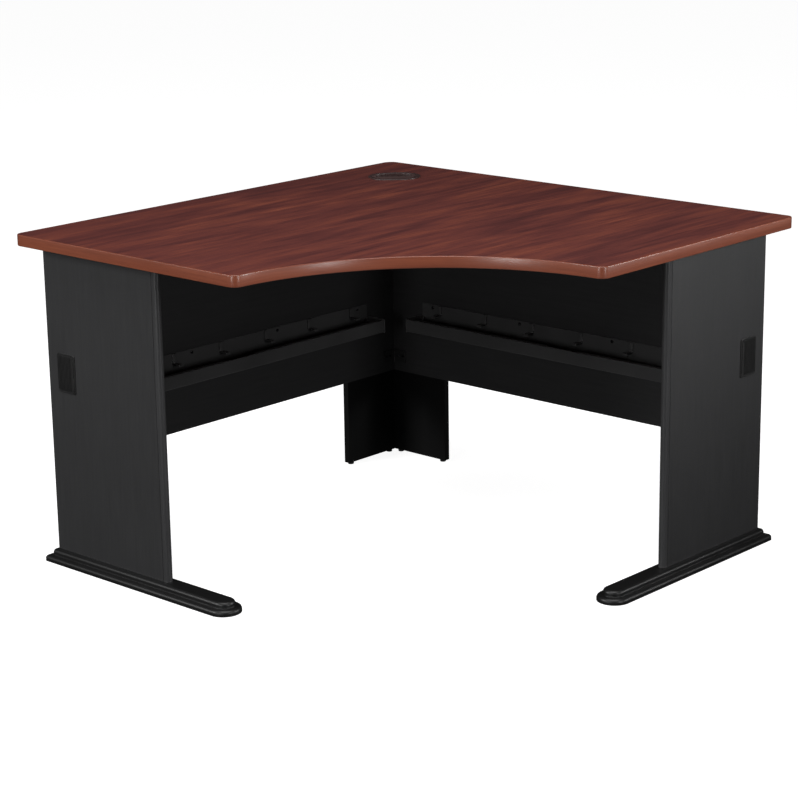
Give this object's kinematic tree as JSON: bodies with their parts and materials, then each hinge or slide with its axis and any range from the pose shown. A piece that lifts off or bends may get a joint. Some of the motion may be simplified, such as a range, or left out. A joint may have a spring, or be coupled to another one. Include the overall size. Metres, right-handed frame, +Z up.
{
  "type": "corner desk",
  "caption": "Corner desk with a cherry laminate top, concave front edge, charcoal end panels on two-step feet, corner leg, modesty panels, wire trays and cable openings.",
  "frame": {"origin": "centre of the footprint at floor level, where the leveller pads stand", "axes": "+Z up; the room's corner is at -X, +Y; the right wing runs along +X against the +Y wall and the left wing runs along -Y against the -X wall, as seen by a person seated in the concave front"},
  "size_m": [1.2, 1.2, 0.7525],
  "materials": {
    "cherry_laminate": "satin wood-grain laminate on particleboard",
    "cherry_edging": "satin wood-grain edging",
    "charcoal_laminate": "fine-grained charcoal laminate on particleboard",
    "charcoal_edging": "satin charcoal moulding",
    "black_trim": "satin moulded black",
    "black_foot": "semi-gloss moulded black",
    "tray_black": "fine satin black",
    "black_steel": "black powder coat",
    "zinc_steel": "bright zinc plate",
    "zinc_casting": "die-cast zinc",
    "beech": "fluted beech",
    "black_pad": "matt moulded nylon"
  },
  "bodies": {
    "desk": {"worktop": "cherry_laminate", "edge_band": "cherry_edging", "grommet_liner": "black_trim", "right_end_panel": "charcoal_laminate", "left_end_panel": "charcoal_laminate", "right_panel_nosing": "charcoal_edging", "left_panel_nosing": "charcoal_edging", "right_cover_frame": "black_trim", "left_cover_frame": "black_trim", "right_modesty_panel": "charcoal_laminate", "left_modesty_panel": "charcoal_laminate", "right_corner_leg": "charcoal_laminate", "left_corner_leg": "charcoal_laminate", "corner_leg_glides": "black_pad", "corner_brackets": "black_steel", "bracket_screws": "black_steel", "leg_screws": "zinc_steel", "right_wire_tray": "tray_black", "left_wire_tray": "tray_black", "right_tray_end_cap": "tray_black", "left_tray_end_cap": "tray_black", "right_tray_clips": "tray_black", "left_tray_clips": "tray_black", "tray_screws": "black_steel", "right_foot": "black_foot", "left_foot": "black_foot", "foot_bolts": "zinc_steel", "foot_inserts": "zinc_steel", "cam_locks": "zinc_casting", "cam_bolts": "zinc_steel", "dowels": "beech"},
    "grommet_lid": {"grommet_lid": "black_trim"},
    "right_cable_cover": {"right_cable_cover": "black_trim"},
    "left_cable_cover": {"left_cable_cover": "black_trim"},
    "right_rear_pad": {"right_rear_pad": "black_pad"},
    "right_front_pad": {"right_front_pad": "black_pad"},
    "left_rear_pad": {"left_rear_pad": "black_pad"},
    "left_front_pad": {"left_front_pad": "black_pad"},
    "right_rear_stem": {"right_rear_stem": "zinc_steel"},
    "right_front_stem": {"right_front_stem": "zinc_steel"},
    "left_rear_stem": {"left_rear_stem": "zinc_steel"},
    "left_front_stem": {"left_front_stem": "zinc_steel"}
  },
  "joints": [
    {"name": "grommet_lid_lift", "type": "slide", "parent": "desk", "child": "grommet_lid", "axis": [0, 0, 1], "range_m": [0, 0.03]},
    {"name": "right_cover_pull", "type": "slide", "parent": "desk", "child": "right_cable_cover", "axis": [1, 0, 0], "range_m": [0, 0.025]},
    {"name": "left_cover_pull", "type": "slide", "parent": "desk", "child": "left_cable_cover", "axis": [0, -1, 0], "range_m": [0, 0.025]},
    {"name": "right_rear_extend", "type": "slide", "parent": "desk", "child": "right_rear_pad", "axis": [0, 0, -1], "range_m": [0, 0.008]},
    {"name": "right_rear_screw", "type": "hinge", "parent": "right_rear_pad", "child": "right_rear_stem", "pos_m": [0.534, 0.548, 0.01], "axis": [0, 0, -1], "range_deg": [-2, 2306]},
    {"name": "right_front_extend", "type": "slide", "parent": "desk", "child": "right_front_pad", "axis": [0, 0, -1], "range_m": [0, 0.008]},
    {"name": "right_front_screw", "type": "hinge", "parent": "right_front_pad", "child": "right_front_stem", "pos_m": [0.534, 0.059, 0.01], "axis": [0, 0, -1], "range_deg": [-2, 2306]},
    {"name": "left_rear_extend", "type": "slide", "parent": "desk", "child": "left_rear_pad", "axis": [0, 0, -1], "range_m": [0, 0.008]},
    {"name": "left_rear_screw", "type": "hinge", "parent": "left_rear_pad", "child": "left_rear_stem", "pos_m": [-0.548, -0.534, 0.01], "axis": [0, 0, -1], "range_deg": [-2, 2306]},
    {"name": "left_front_extend", "type": "slide", "parent": "desk", "child": "left_front_pad", "axis": [0, 0, -1], "range_m": [0, 0.008]},
    {"name": "left_front_screw", "type": "hinge", "parent": "left_front_pad", "child": "left_front_stem", "pos_m": [-0.059, -0.534, 0.01], "axis": [0, 0, -1], "range_deg": [-2, 2306]}
  ],
  "couplings": [
    {"joint": "right_rear_screw", "follows": "right_rear_extend", "rad_per_m": 5026.5},
    {"joint": "right_front_screw", "follows": "right_front_extend", "rad_per_m": 5026.5},
    {"joint": "left_rear_screw", "follows": "left_rear_extend", "rad_per_m": 5026.5},
    {"joint": "left_front_screw", "follows": "left_front_extend", "rad_per_m": 5026.5}
  ]
}
